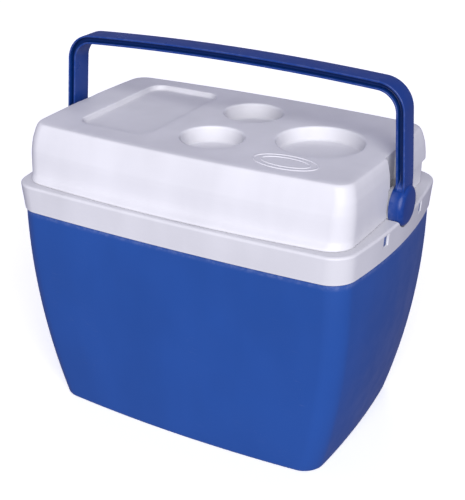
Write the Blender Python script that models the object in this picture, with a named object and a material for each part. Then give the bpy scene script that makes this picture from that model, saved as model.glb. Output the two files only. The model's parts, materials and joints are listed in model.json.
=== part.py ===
"""Hard cooler chest with a lift-off lid and a swinging bail handle.

Z is up and the base stands on Z = 0. X runs along the length, -Y is the front.
"""
import math

import bmesh
import bpy
from mathutils import Matrix, Vector

MM = 0.001
GAP = 0.4

# Outer body: half length, end bow, half depth, face bow at the rim and at the base.
RIM_HALF = (210.4, 15.0, 138.7, 5.8)
BASE_HALF = (181.2, 5.9, 117.8, 9.2)
BODY_CORNER = 21.5
BODY_RIM_Z = 264.8
END_BARREL = 1.31
FACE_BARREL = 0.60
BODY_WALL = 3.0
BASE_RECESS = 2.5
LIP_STEP = 3.6
LIP_WALL = 2.5
LIP_TOP_Z = 292.0

# Collar that wraps the rim.
COLLAR_FOOT = (212.0, 14.5, 140.5, 6.2)
COLLAR_HEAD = (214.0, 14.0, 143.0, 6.0)
COLLAR_CORNER = 23.5
COLLAR_FOOT_Z = 265.3
COLLAR_TOP_Z = 299.5
COLLAR_PLATE = 3.0
COLLAR_SKIRT = 3.0
OPENING = (187.0, 8.0, 115.0, 7.0)
OPENING_CORNER = 22.0
WINDOW_Y = 54.0
WINDOW_SIZE = (12.0, 14.0)
WINDOW_Z = 289.0
TONGUE_SIZE = (11.0, 4.5)

# Inner tub.
TUB_RIM = (184.5, 7.5, 112.5, 6.5)
TUB_FLOOR = (163.0, 4.0, 97.0, 6.0)
TUB_CORNER = 26.0
TUB_WALL = 2.2
TUB_FLANGE = (193.0, 12.4, 131.0, 5.0)
TUB_FLANGE_Z = (293.8, 296.2)
TUB_FLOOR_Z = 24.0

# Handle and its pivots.
PIVOT_Z = 312.0
PAD_RADIUS = 24.3
PAD_INNER_X = 213.7
PAD_OUTER_X = 231.5
BAR_WIDTH = 29.0
BAR_THICK = 10.4
BAR_FLANGE = 3.0
BAR_WEB_HALF = 8.5
ARM_FOOT = (222.9, 316.0)
ARM_KNEE = (222.0, 344.0)
BAR_CORNER = (214.0, 446.0)
BAR_CORNER_RADIUS = 30.0
BAR_CROWN_Z = 453.2
EAR_INNER_X = 206.8
EAR_OUTER_X = 213.2
EAR_HALF = 18.5
STUB_RADIUS = 7.0
STUB_BORE = 7.35
STUB_END_X = 201.2
NECK_RADIUS = 5.6
NECK_X = (202.7, 206.0)
CLIP_X = (203.1, 205.6)
CLIP_RADII = (6.0, 10.5)
POCKET_RADIUS = 25.1
BOSS_HALF = 27.0
BOSS_FOOT_Z = 283.6

# Lid: height, then half length, end bow, half depth, face bow, and the corner's radius.
LID_FRONT = (
    (299.9, 208.1, 3.5, 130.4, 12.4, 24.0),
    (301.2, 208.7, 3.5, 131.0, 12.8, 24.0),
    (303.2, 208.7, 3.5, 130.3, 12.3, 24.0),
    (308.0, 208.7, 3.5, 126.5, 10.0, 21.0),
    (316.0, 209.0, 3.3, 126.0, 9.0, 21.0),
    (326.0, 209.2, 3.0, 125.5, 9.0, 21.0),
    (329.0, 209.2, 3.0, 125.2, 9.0, 21.0),
    (331.5, 209.2, 3.0, 125.0, 9.0, 21.0),
    (338.0, 208.8, 3.1, 124.2, 8.9, 20.5),
    (350.0, 207.6, 3.2, 121.0, 8.8, 18.7),
    (361.0, 204.6, 4.0, 117.4, 9.0, 17.0),
    (366.2, 202.4, 4.4, 115.4, 9.0, 16.5),
    (368.3, 200.7, 4.5, 113.7, 9.0, 16.0),
    (369.0, 198.2, 4.5, 111.2, 9.0, 15.5),
)
GROOVE_TOP_Z = 329.5
GROOVE_HALF = (206.2, 3.0, 121.6, 9.5)
GROOVE_CORNER = 20.0
LID_TOP_Z = 369.0
LID_WALL = 2.6
RECESS_HALF = 16.5
RECESS_FLOOR_X = 203.6
PIVOT_RECESS_HALF = 21.0
PIVOT_RECESS_FLOOR_X = 200.0
PIVOT_RECESS_TOP_Z = 334.0
PLUG_RIM = (182.6, 7.4, 110.6, 6.4)
PLUG_FLOOR = (179.8, 7.2, 107.8, 6.4)
PLUG_FLOOR_Z = 274.0
PLUG_WALL = 2.4
HOLDERS = ((6.0, 51.0, 36.0, 19.0), (6.0, -51.0, 37.0, 19.0), (120.0, -2.0, 51.0, 17.0))
TRAY_SPAN = (-161.0, -63.0, -84.0, 93.0)
TRAY_CORNER = 18.0
TRAY_DEPTH = 6.5

CORNER_STEPS = 4
FACE_STEPS = 6
END_STEPS = 6
ROUND_STEPS = 40


def clear_scene():
    for thing in list(bpy.data.objects):
        bpy.data.objects.remove(thing, do_unlink=True)


def material(name, colour, roughness):
    mat = bpy.data.materials.new(name)
    mat.use_nodes = True
    shader = mat.node_tree.nodes["Principled BSDF"]
    shader.inputs["Base Color"].default_value = (*colour, 1.0)
    shader.inputs["Roughness"].default_value = roughness
    return mat


def blend(low, high, share):
    return tuple(p + (q - p) * share for p, q in zip(low, high))


def outline(half, corner, inset=0.0):
    """Rounded rectangle with bowed sides, counter-clockwise, in millimetres."""
    a, bow_a, b, bow_b = half
    a -= inset
    b -= inset
    r = max(corner - 0.7 * inset, 4.0)
    points = []
    sides = ((1, -1, END_STEPS), (1, 1, FACE_STEPS), (-1, 1, END_STEPS), (-1, -1, FACE_STEPS))
    for index, (sx, sy, steps) in enumerate(sides):
        start = math.radians(-90 + 90 * index)
        for step in range(CORNER_STEPS + 1):
            angle = start + math.radians(90) * step / CORNER_STEPS
            x = sx * (a - r) + r * math.cos(angle)
            y = sy * (b - r) + r * math.sin(angle)
            points.append((x, y))
        nx, ny, _ = sides[(index + 1) % 4]
        angle = start + math.radians(90)
        here = points[-1]
        there = (nx * (a - r) + r * math.cos(angle), ny * (b - r) + r * math.sin(angle))
        for step in range(1, steps):
            share = step / steps
            points.append((here[0] + (there[0] - here[0]) * share,
                           here[1] + (there[1] - here[1]) * share))
    bowed = []
    for x, y in points:
        grow_x = 1 + bow_a / a * max(0.0, 1 - (y / b) ** 2)
        grow_y = 1 + bow_b / b * max(0.0, 1 - (x / a) ** 2)
        bowed.append((x * grow_x, y * grow_y))
    return bowed


def ring(half, corner, z, inset=0.0):
    return [(x, y, z) for x, y in outline(half, corner, inset)]


def two_part_ring(front, rear, z, inset=0.0):
    """One ring whose front half and rear half follow different outlines, each with its corner last."""
    first = outline(front[:4], front[4], inset)
    second = outline(rear[:4], rear[4], inset)
    return [(*(p if p[1] < -1e-6 else q), z) for p, q in zip(first, second)]


def mesh_object(name, build, mat):
    bm = bmesh.new()
    build(bm)
    bmesh.ops.recalc_face_normals(bm, faces=bm.faces)
    mesh = bpy.data.meshes.new(name)
    bm.to_mesh(mesh)
    bm.free()
    obj = bpy.data.objects.new(name, mesh)
    bpy.context.scene.collection.objects.link(obj)
    if mat is not None:
        mesh.materials.append(mat)
    return obj


def loft(name, rings, mat, closed=False):
    """Solid through the rings; capped at both ends, or closed on itself as a frame."""
    def build(bm):
        loops = [[bm.verts.new(Vector(p) * MM) for p in points] for points in rings]
        pairs = list(zip(loops, loops[1:]))
        if closed:
            pairs.append((loops[-1], loops[0]))
        for low, high in pairs:
            count = len(low)
            for i in range(count):
                j = (i + 1) % count
                bm.faces.new((low[i], low[j], high[j], high[i]))
        if not closed:
            bm.faces.new(loops[0])
            bm.faces.new(loops[-1])
        bmesh.ops.triangulate(bm, faces=[f for f in bm.faces if len(f.verts) > 4])
    return mesh_object(name, build, mat)


def box(name, low, high, mat=None):
    def build(bm):
        bmesh.ops.create_cube(bm, size=1.0)
        centre = [(p + q) / 2 * MM for p, q in zip(low, high)]
        sizes = [(q - p) * MM for p, q in zip(low, high)]
        bmesh.ops.scale(bm, vec=sizes, verts=bm.verts)
        bmesh.ops.translate(bm, vec=centre, verts=bm.verts)
    return mesh_object(name, build, mat)


def rod(name, x0, x1, y, z, radius, mat=None, steps=ROUND_STEPS):
    """Cylinder along X."""
    def build(bm):
        turn = Matrix.Rotation(math.radians(90), 4, "Y")
        shift = Matrix.Translation(Vector(((x0 + x1) / 2, y, z)) * MM)
        bmesh.ops.create_cone(bm, cap_ends=True, segments=steps, radius1=radius * MM,
                              radius2=radius * MM, depth=abs(x1 - x0) * MM, matrix=shift @ turn)
    return mesh_object(name, build, mat)


def well(name, x, y, z0, z1, low_radius, high_radius):
    """Upright tapered cylinder."""
    def build(bm):
        shift = Matrix.Translation(Vector((x, y, (z0 + z1) / 2)) * MM)
        bmesh.ops.create_cone(bm, cap_ends=True, segments=ROUND_STEPS, radius1=low_radius * MM,
                              radius2=high_radius * MM, depth=(z1 - z0) * MM, matrix=shift)
    return mesh_object(name, build, None)


def tray_block(name, z0, z1, grow, draft):
    x0, x1, y0, y1 = TRAY_SPAN
    cx, cy = (x0 + x1) / 2, (y0 + y1) / 2
    rings = []
    for z, extra in ((z0, grow - draft), (z1, grow)):
        half = ((x1 - x0) / 2 + extra, 0.0, (y1 - y0) / 2 + extra, 0.0)
        flat = outline(half, TRAY_CORNER + grow)
        rings.append([(x + cx, y + cy, z) for x, y in flat])
    return loft(name, rings, None)


def combine(target, tool, operation):
    """Apply one exact boolean and drop the tool."""
    mod = target.modifiers.new("join", "BOOLEAN")
    mod.operation = operation
    mod.solver = "EXACT"
    mod.object = tool
    graph = bpy.context.evaluated_depsgraph_get()
    fresh = bpy.data.meshes.new_from_object(target.evaluated_get(graph))
    target.modifiers.clear()
    target.data = fresh
    bpy.data.objects.remove(tool, do_unlink=True)


def cut(target, tool):
    combine(target, tool, "DIFFERENCE")


def add(target, tool):
    combine(target, tool, "UNION")


def body_half(z):
    share = max(0.0, (BODY_RIM_Z - z) / BODY_RIM_Z)
    length = share * (1 - END_BARREL) + END_BARREL * share ** 2
    depth = share * (1 - FACE_BARREL) + FACE_BARREL * share ** 2
    first = blend(RIM_HALF, BASE_HALF, length)
    second = blend(RIM_HALF, BASE_HALF, depth)
    return (first[0], first[1], second[2], second[3])


def tub_half(z):
    return blend(TUB_FLOOR, TUB_RIM, (z - TUB_FLOOR_Z) / (TUB_FLANGE_Z[1] - TUB_FLOOR_Z))


BODY_STATIONS = (5.0, 30.0, 70.0, 115.0, 160.0, 205.0, 240.0)


def outer_shell(mat):
    rings = [ring(body_half(0), BODY_CORNER, BASE_RECESS, 25.0),
             ring(body_half(0), BODY_CORNER, 0.0, 22.0),
             ring(body_half(0), BODY_CORNER, 0.0, 5.0),
             ring(body_half(1.5), BODY_CORNER, 1.5, 1.5)]
    for z in BODY_STATIONS + (BODY_RIM_Z,):
        rings.append(ring(body_half(z), BODY_CORNER, z))
    inner = LIP_STEP + LIP_WALL
    rings.append(ring(RIM_HALF, BODY_CORNER, BODY_RIM_Z, LIP_STEP))
    rings.append(ring(RIM_HALF, BODY_CORNER, LIP_TOP_Z, LIP_STEP))
    rings.append(ring(RIM_HALF, BODY_CORNER, LIP_TOP_Z, inner))
    rings.append(ring(RIM_HALF, BODY_CORNER, BODY_RIM_Z - 4, inner))
    rings.append(ring(RIM_HALF, BODY_CORNER, BODY_RIM_Z - 8, BODY_WALL))
    for z in reversed(BODY_STATIONS[1:]):
        rings.append(ring(body_half(z), BODY_CORNER, z, BODY_WALL))
    rings.append(ring(body_half(8), BODY_CORNER, 8.0, BODY_WALL))
    rings.append(ring(body_half(6), BODY_CORNER, BASE_RECESS + BODY_WALL, 8.0))
    shell = loft("outer_shell", rings, mat)
    for side in (-1, 1):
        ends = sorted((side * 205.0, side * 228.0))
        half = BOSS_HALF + 1.5
        cut(shell, box("notch", (ends[0], -half, BOSS_FOOT_Z - GAP), (ends[1], half, 300.0)))
        for y in (-WINDOW_Y, WINDOW_Y):
            half_w = TONGUE_SIZE[0] / 2
            z0 = WINDOW_Z - WINDOW_SIZE[1] / 2 + 0.5
            xs = sorted((side * 218.0, side * 223.9))
            add(shell, box("tongue", (xs[0], y - half_w, z0),
                           (xs[1], y + half_w, z0 + TONGUE_SIZE[1])))
    return shell


def body_insulation(mat):
    skin = BODY_WALL + 2 * GAP
    rings = [ring(body_half(6), BODY_CORNER, BASE_RECESS + BODY_WALL + GAP, 9.0),
             ring(body_half(8), BODY_CORNER, 8.0 + GAP, skin)]
    for z in BODY_STATIONS[1:]:
        rings.append(ring(body_half(z), BODY_CORNER, z, skin))
    inner = LIP_STEP + LIP_WALL + GAP
    rings.append(ring(RIM_HALF, BODY_CORNER, BODY_RIM_Z - 9, inner))
    rings.append(ring(RIM_HALF, BODY_CORNER, TUB_FLANGE_Z[0] - GAP, inner))
    hollow = TUB_WALL + GAP
    tub_top = tub_half(TUB_FLANGE_Z[0])
    rings.append(ring(tub_top, TUB_CORNER, TUB_FLANGE_Z[0] - GAP, -hollow))
    rings.append(ring(tub_half(34), TUB_CORNER, 34.0, -hollow))
    rings.append(ring(TUB_FLOOR, TUB_CORNER, TUB_FLOOR_Z - TUB_WALL - GAP, 4.5))
    foam = loft("body_insulation", rings, mat)
    for side in (-1, 1):
        ends = sorted((side * (EAR_INNER_X - GAP), side * 228.0))
        half = BOSS_HALF + GAP
        cut(foam, box("notch", (ends[0], -half, BOSS_FOOT_Z - GAP), (ends[1], half, 300.0)))
    return foam


def inner_tub(mat):
    low, high = TUB_FLANGE_Z
    rings = [ring(TUB_FLOOR, TUB_CORNER, TUB_FLOOR_Z - TUB_WALL, 6.0),
             ring(tub_half(34), TUB_CORNER, 34.0, -TUB_WALL),
             ring(tub_half(low), TUB_CORNER, low, -TUB_WALL),
             ring(TUB_FLANGE, BODY_CORNER, low),
             ring(TUB_FLANGE, BODY_CORNER, high),
             ring(TUB_RIM, TUB_CORNER, high),
             ring(tub_half(34), TUB_CORNER, 34.0),
             ring(TUB_FLOOR, TUB_CORNER, TUB_FLOOR_Z, 8.0)]
    return loft("inner_tub", rings, mat)


def collar(mat):
    top = COLLAR_TOP_Z
    under = top - COLLAR_PLATE
    rings = [ring(COLLAR_FOOT, COLLAR_CORNER, COLLAR_FOOT_Z),
             ring(COLLAR_HEAD, COLLAR_CORNER, top - 3.0),
             ring(COLLAR_HEAD, COLLAR_CORNER, top - 0.9, 0.9),
             ring(COLLAR_HEAD, COLLAR_CORNER, top, 3.0),
             ring(OPENING, OPENING_CORNER, top),
             ring(OPENING, OPENING_CORNER, under),
             ring(COLLAR_HEAD, COLLAR_CORNER, under, COLLAR_SKIRT),
             ring(COLLAR_FOOT, COLLAR_CORNER, COLLAR_FOOT_Z, COLLAR_SKIRT)]
    frame = loft("collar", rings, mat, closed=True)
    for side in (-1, 1):
        xs = sorted((side * EAR_INNER_X, side * 225.6))
        add(frame, box("boss", (xs[0], -BOSS_HALF, BOSS_FOOT_Z), (xs[1], BOSS_HALF, top - 0.2)))
        xs = sorted((side * EAR_INNER_X, side * EAR_OUTER_X))
        add(frame, box("ear_foot", (xs[0], -EAR_HALF, 290.0), (xs[1], EAR_HALF, PIVOT_Z)))
        add(frame, rod("ear_head", xs[0], xs[1], 0.0, PIVOT_Z, EAR_HALF))
        xs = sorted((side * EAR_OUTER_X, side * 235.0))
        cut(frame, rod("pocket", xs[0], xs[1], 0.0, PIVOT_Z, POCKET_RADIUS))
        cut(frame, rod("bore", side * (EAR_INNER_X - 4), side * (EAR_OUTER_X + 4), 0.0, PIVOT_Z,
                       STUB_BORE))
        half_w, half_h = WINDOW_SIZE[0] / 2, WINDOW_SIZE[1] / 2
        for y in (-WINDOW_Y, WINDOW_Y):
            xs = sorted((side * 220.0, side * 232.0))
            cut(frame, box("window", (xs[0], y - half_w, WINDOW_Z - half_h),
                           (xs[1], y + half_w, WINDOW_Z + half_h)))
    return frame


def handle_path():
    """Centre line of the bar from the right hub over the crown to the left hub."""
    right = [ARM_FOOT, (ARM_KNEE[0] + 0.6, 331.0), ARM_KNEE]
    knee, corner = Vector(ARM_KNEE), Vector(BAR_CORNER)
    crown_drop = (BAR_CROWN_Z - BAR_CORNER[1]) / BAR_CORNER[0] ** 2
    up = (corner - knee).normalized()
    slope = 2 * crown_drop * BAR_CORNER[0]
    along = Vector((-1.0, slope)).normalized()
    turn = up.angle(along)
    reach = BAR_CORNER_RADIUS * math.tan(turn / 2)
    start, finish = corner - up * reach, corner + along * reach
    centre = start + Vector((-up.y, up.x)) * BAR_CORNER_RADIUS
    for share in (0.35, 0.7):
        right.append(tuple(knee + (start - knee) * share))
    first = start - centre
    for step in range(7):
        angle = turn * step / 6
        x = first.x * math.cos(angle) - first.y * math.sin(angle)
        y = first.x * math.sin(angle) + first.y * math.cos(angle)
        right.append((centre.x + x, centre.y + y))
    last = right[-1][0]
    base = right[-1][1]
    for step in range(1, 6):
        x = last * (1 - step / 5)
        right.append((x, base + (BAR_CROWN_Z - base) * (1 - (x / last) ** 2)))
    return right + [(-x, z) for x, z in reversed(right[:-1])]


def bar_section():
    half_w, half_t = BAR_WIDTH / 2, BAR_THICK / 2
    web = half_t - BAR_FLANGE
    one = [(half_w, half_t), (half_w, web), (BAR_WEB_HALF, web),
           (BAR_WEB_HALF, -web), (half_w, -web), (half_w, -half_t)]
    return one + [(-y, n) for y, n in reversed(one)]


def handle(mat):
    path = handle_path()
    rings = []
    for index, (x, z) in enumerate(path):
        before = path[max(index - 1, 0)]
        after = path[min(index + 1, len(path) - 1)]
        tangent = Vector((after[0] - before[0], after[1] - before[1])).normalized()
        out = Vector((tangent.y, -tangent.x))
        rings.append([(x + out.x * n, y, z + out.y * n) for y, n in bar_section()])
    bail = loft("handle", rings, mat)
    for side in (-1, 1):
        add(bail, rod("pad", side * PAD_INNER_X, side * PAD_OUTER_X, 0.0, PIVOT_Z, PAD_RADIUS))
        add(bail, rod("stub", side * STUB_END_X, side * (PAD_INNER_X + 2), 0.0, PIVOT_Z,
                      STUB_RADIUS))
        sleeve = rod("sleeve", side * NECK_X[0], side * NECK_X[1], 0.0, PIVOT_Z, 12.0)
        cut(sleeve, rod("core", side * (NECK_X[0] - 2), side * (NECK_X[1] + 2), 0.0, PIVOT_Z,
                        NECK_RADIUS))
        cut(bail, sleeve)
    return bail


def pivot_clip(name, side, mat):
    clip = rod(name, side * CLIP_X[0], side * CLIP_X[1], 0.0, PIVOT_Z, CLIP_RADII[1], mat)
    cut(clip, rod("hole", side * (CLIP_X[0] - 2), side * (CLIP_X[1] + 2), 0.0, PIVOT_Z,
                  CLIP_RADII[0]))
    return clip


def lid_ring(station, inset=0.0, z=None):
    height, front = station[0], station[1:]
    rear = (*GROOVE_HALF, GROOVE_CORNER) if height < GROOVE_TOP_Z else front
    return two_part_ring(front, rear, height if z is None else z, inset)


def recess_boxes(side, grow, reach_x):
    """Room for an arm, and below it the wider room for its pivot, as two boxes."""
    low = sorted((side * (PIVOT_RECESS_FLOOR_X - grow), side * reach_x))
    high = sorted((side * (RECESS_FLOOR_X - grow), side * reach_x))
    arm, pivot = RECESS_HALF + grow, PIVOT_RECESS_HALF + grow
    top = PIVOT_RECESS_TOP_Z + grow
    return (((low[0], -pivot, 295.0), (low[1], pivot, top)),
            ((high[0], -arm, top - 1.0), (high[1], arm, LID_TOP_Z + 6.0)))


def lid_recess(target, side, grow):
    for low, high in recess_boxes(side, grow, 222.0):
        cut(target, box("recess", low, high))


def lid_top(mat):
    rings = [lid_ring(station) for station in LID_FRONT]
    ceiling = LID_TOP_Z - LID_WALL
    rings.append(lid_ring(LID_FRONT[-1], LID_WALL + 1.5, ceiling))
    for station in reversed(LID_FRONT[3:-2]):
        z = min(station[0] - 0.5, ceiling - 1.5)
        rings.append(lid_ring(station, LID_WALL, z))
    rings.append(lid_ring(LID_FRONT[2], LID_WALL))
    rings.append(lid_ring(LID_FRONT[0], LID_WALL - 0.5))
    outer = rings[:len(LID_FRONT)]
    inner = rings[len(LID_FRONT):]
    lid = loft("lid_top", outer, mat)
    cut(lid, loft("hollow", [[(x, y, 290.0) for x, y, _ in inner[-1]]] + inner[::-1], None))
    for side in (-1, 1):
        for low, high in recess_boxes(side, LID_WALL, 207.0):
            low = (low[0], low[1], max(low[2], LID_FRONT[0][0]))
            high = (high[0], high[1], min(high[2], ceiling + 1.0))
            add(lid, box("recess_wall", low, high))
        lid_recess(lid, side, 0.0)
    for x, y, radius, depth in HOLDERS:
        floor = LID_TOP_Z - depth
        add(lid, well("cup", x, y, floor - LID_WALL, ceiling + 1.0, radius - 0.5 + LID_WALL,
                      radius + LID_WALL))
    add(lid, tray_block("pan", LID_TOP_Z - TRAY_DEPTH - LID_WALL, ceiling + 1.0, LID_WALL, 1.0))
    for x, y, radius, depth in HOLDERS:
        cut(lid, well("hole", x, y, LID_TOP_Z - depth, LID_TOP_Z + 3.0, radius - 1.5, radius))
    cut(lid, tray_block("dish", LID_TOP_Z - TRAY_DEPTH, LID_TOP_Z + 3.0, 0.0, 1.5))
    return lid


def lid_insulation(mat):
    skin = LID_WALL + GAP
    floor = PLUG_FLOOR_Z + PLUG_WALL + GAP
    sides = PLUG_WALL + GAP
    rings = [ring(PLUG_FLOOR, OPENING_CORNER, floor, sides),
             ring(PLUG_RIM, OPENING_CORNER, 302.6, sides)]
    shoulder = LID_FRONT[3]
    rings.append(lid_ring(shoulder, skin + 0.6, 302.6))
    for station in LID_FRONT[3:-3]:
        rings.append(lid_ring(station, skin + 0.6, station[0] - 0.9))
    rings.append(lid_ring(LID_FRONT[-1], skin + 1.5, LID_TOP_Z - skin - 0.3))
    foam = loft("lid_insulation", rings, mat)
    for side in (-1, 1):
        lid_recess(foam, side, skin)
    for x, y, radius, depth in HOLDERS:
        cut(foam, well("cup", x, y, LID_TOP_Z - depth - skin, LID_TOP_Z + 3.0, radius + skin,
                       radius + skin + 0.1))
    cut(foam, tray_block("pan", LID_TOP_Z - TRAY_DEPTH - skin, LID_TOP_Z + 3.0, skin, 0.0))
    return foam


def lid_plug(mat):
    foot = LID_FRONT[1]
    edge = LID_WALL + 1.0
    rings = [ring(PLUG_FLOOR, OPENING_CORNER, PLUG_FLOOR_Z, 3.0),
             ring(PLUG_FLOOR, OPENING_CORNER, PLUG_FLOOR_Z + 3.0),
             ring(PLUG_RIM, OPENING_CORNER, 299.9),
             lid_ring(foot, edge, 299.9),
             lid_ring(foot, edge, 302.2),
             ring(PLUG_RIM, OPENING_CORNER, 302.2, PLUG_WALL),
             ring(PLUG_FLOOR, OPENING_CORNER, PLUG_FLOOR_Z + PLUG_WALL, PLUG_WALL)]
    plug = loft("lid_plug", rings, mat)
    skin = LID_WALL + GAP
    for side in (-1, 1):
        lid_recess(plug, side, skin)
    return plug


def main():
    clear_scene()
    blue = material("shell_blue", (0.035, 0.105, 0.42), 0.35)
    handle_blue = material("handle_blue", (0.025, 0.085, 0.36), 0.32)
    rim_white = material("rim_white", (0.80, 0.80, 0.86), 0.35)
    tub_white = material("tub_white", (0.85, 0.85, 0.86), 0.35)
    lid_white = material("lid_white", (0.82, 0.82, 0.87), 0.33)
    plug_white = material("plug_white", (0.84, 0.84, 0.86), 0.36)
    body_foam = material("body_foam", (0.90, 0.90, 0.88), 0.90)
    lid_foam = material("lid_foam", (0.90, 0.90, 0.88), 0.90)
    outer_shell(blue)
    body_insulation(body_foam)
    inner_tub(tub_white)
    collar(rim_white)
    handle(handle_blue)
    for name, side in (("pivot_clip_left", -1), ("pivot_clip_right", 1)):
        pivot_clip(name, side, material(name, (0.62, 0.62, 0.64), 0.45))
    lid_top(lid_white)
    lid_insulation(lid_foam)
    lid_plug(plug_white)


main()
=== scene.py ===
import json
import math

import bmesh
import bpy
from mathutils import Matrix, Vector
from mathutils.geometry import delaunay_2d_cdt


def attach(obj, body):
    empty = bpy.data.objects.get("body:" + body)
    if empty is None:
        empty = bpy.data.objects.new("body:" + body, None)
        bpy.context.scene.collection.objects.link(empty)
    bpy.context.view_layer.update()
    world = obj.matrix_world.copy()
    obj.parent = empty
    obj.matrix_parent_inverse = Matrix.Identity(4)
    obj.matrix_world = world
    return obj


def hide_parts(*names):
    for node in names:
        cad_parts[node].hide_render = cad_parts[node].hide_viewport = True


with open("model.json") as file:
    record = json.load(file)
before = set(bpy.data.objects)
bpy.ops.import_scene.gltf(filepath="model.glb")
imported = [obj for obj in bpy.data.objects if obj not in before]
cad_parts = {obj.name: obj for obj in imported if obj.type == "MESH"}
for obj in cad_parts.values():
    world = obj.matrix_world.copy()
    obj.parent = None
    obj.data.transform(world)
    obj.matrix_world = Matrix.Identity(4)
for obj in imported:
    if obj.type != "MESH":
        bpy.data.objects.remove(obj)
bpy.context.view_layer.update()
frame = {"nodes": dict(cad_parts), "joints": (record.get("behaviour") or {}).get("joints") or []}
MM = 0.001

# ---------------------------------------------------------------- driving dimensions, millimetres
# Outlines are half length, end bow, half depth, face bow.
RIM_HALF = (210.4, 15.0, 138.7, 5.8)
BASE_HALF = (181.2, 5.9, 117.8, 9.2)
BODY_CORNER = 21.5
BODY_RIM_Z = 264.8
END_BARREL = 1.31
FACE_BARREL = 0.60
BODY_WALL = 3.0
BASE_RECESS = 2.5
# Underside from the recessed panel out to the rim it stands on: height, inset from the outline.
BASE_ROWS = ((BASE_RECESS, 27.0), (BASE_RECESS, 23.2), (BASE_RECESS - 0.6, 22.6), (0.5, 22.2),
             (0.0, 21.6), (0.0, 12.0))
FOOT_ROUND = 3.5
RIM_EDGE = 0.6
RIB_COUNT = 5
RIB_FIELD = (110.0, 78.0)
RIB_HALF = 1.6
RIB_FOOT_Z = 1.1
RIB_TOP_Z = BASE_RECESS + 0.6
LIP_STEP = 3.6
LIP_WALL = 2.5
LIP_TOP_Z = 292.0
# The lip dips at both ends, under the collar's pivot pockets.
LIP_DIP = 8.8
LIP_DIP_HALF = 39.0

COLLAR_FOOT = (212.0, 14.5, 140.5, 6.2)
COLLAR_HEAD = (214.0, 14.0, 143.0, 6.0)
COLLAR_CORNER = 23.5
COLLAR_FOOT_Z = 265.3
COLLAR_TOP_Z = 299.5
COLLAR_WALL = 3.0
COLLAR_ROUND = 3.0
COLLAR_SHELF = 15.8
OPENING = (187.0, 8.0, 115.0, 7.0)
OPENING_CORNER = 22.0
WINDOW_Y = 54.0
WINDOW_HALF = (6.0, 7.0)
WINDOW_Z = 289.0
WINDOW_FLOOR_X = 223.2
WINDOW_MOUTH_X = 230.0
TONGUE_X = (218.0, 223.9)
TONGUE_HALF = (5.5, 6.5)
TONGUE_LEAN = 0.3

TUB_RIM = (184.5, 7.5, 112.5, 6.5)
TUB_FLOOR = (163.0, 4.0, 97.0, 6.0)
TUB_CORNER = 26.0
TUB_WALL = 2.2
TUB_FLANGE = (193.0, 12.4, 131.0, 5.0)
TUB_FLANGE_Z = (293.8, 296.2)
TUB_FLOOR_Z = 24.0
TUB_ROUND = (13.3, 15.5)
TUB_WALL_Z = (39.0, 34.0)

PIVOT_Z = frame["joints"][0]["pos_m"][2] / MM
PAD_RADIUS = 24.3
PAD_X = (213.7, 231.5)
BAR_HALF = 14.5
BAR_THICK = 10.4
BAR_FLANGE = 2.2
BAR_WEB_HALF = 6.0
# Between these heights the bar's grooves run out into the flat foot of each arm.
GROOVE_END_Z = (334.0, 343.0)
# Above this height the inner points of the bar's grooves take painted shade in the handle's material.
GROOVE_SHADE_Z = 341.0
ARM_FOOT = (222.9, 316.0)
ARM_KNEE = (222.0, 344.0)
BAR_CORNER = (214.0, 446.0)
BAR_CORNER_RADIUS = 30.0
BAR_CROWN_Z = 453.2
EAR_X = (206.8, 213.2)
EAR_HALF = 18.5
STUB_RADIUS = 7.0
STUB_BORE = 7.35
STUB_END_X = 201.2
NECK_RADIUS = 5.6
NECK_X = (202.7, 206.0)
CLIP_X = (203.1, 205.6)
CLIP_RADII = (6.0, 10.5)
HUB_DOME = 6.5
POCKET_RADIUS = 25.1
WALL_SOFT = 0.35
BOSS_HALF = 27.0
BOSS_FOOT_Z = 283.6

# Lid profile from the lip to the top: height, the outline of the front half, the corner's radius.
LID_PROFILE = (
    (299.9, 208.1, 3.5, 130.4, 12.4, 24.0),
    (301.2, 208.7, 3.5, 131.0, 12.8, 24.0),
    (303.2, 208.7, 3.5, 130.3, 12.3, 24.0),
    (308.0, 208.7, 3.5, 126.5, 10.0, 21.0),
    (316.0, 209.0, 3.3, 126.0, 9.0, 21.0),
    (331.0, 209.2, 3.0, 125.0, 9.0, 21.0),
    (338.0, 208.8, 3.1, 124.2, 8.9, 20.5),
    (350.0, 207.6, 3.2, 121.0, 8.8, 18.7),
    (361.0, 204.6, 4.0, 117.4, 9.0, 17.0),
    (366.2, 202.4, 4.4, 115.4, 9.0, 16.5),
    (368.4, 200.7, 4.5, 113.7, 9.0, 16.0),
    (369.0, 197.8, 4.5, 110.8, 9.0, 15.5),
)
GROOVE_TOP_Z = 329.5
GROOVE_HALF = (206.2, 3.0, 121.6, 9.5, 20.0)
LID_TOP_Z = 369.0
LID_WALL = 2.6
LID_INNER_Z = (308.0, 316.0, 329.2, 330.0, 336.4, 336.8, 345.0, 352.0, 360.0)
RECESS_HALF = 16.5
RECESS_FLOOR_X = 203.6
PIVOT_RECESS_HALF = 21.0
PIVOT_RECESS_FLOOR_X = 200.0
PIVOT_RECESS_TOP_Z = 334.0
PLUG_RIM = (182.6, 7.4, 110.6, 6.4)
PLUG_FLOOR = (179.8, 7.2, 107.8, 6.4)
PLUG_FLOOR_Z = 274.0
PLUG_WALL = 2.4
PLUG_ROUND = 4.0
PLUG_RIM_Z = 298.4
PLUG_FLANGE_Z = (299.9, 302.2)
# Drink wells: middle, radius, depth. The badge: middle, half length, half width.
HOLDERS = ((6.0, 51.0, 36.0, 19.0), (6.0, -51.0, 37.0, 19.0), (120.0, -2.0, 51.0, 17.0))
BADGE = (115.0, -83.0, 38.0, 20.0)
TRAY_SPAN = (-161.0, -63.0, -84.0, 93.0)
TRAY_CORNER = 18.0
TRAY_DEPTH = 6.5

# Steps along the parts of an outline, and round a full circle.
CORNER_STEPS = 14
FACE_STEPS = 28
END_STEPS = 10
PLAIN_END_STEPS = 24
ROUND_STEPS = 96


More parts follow.
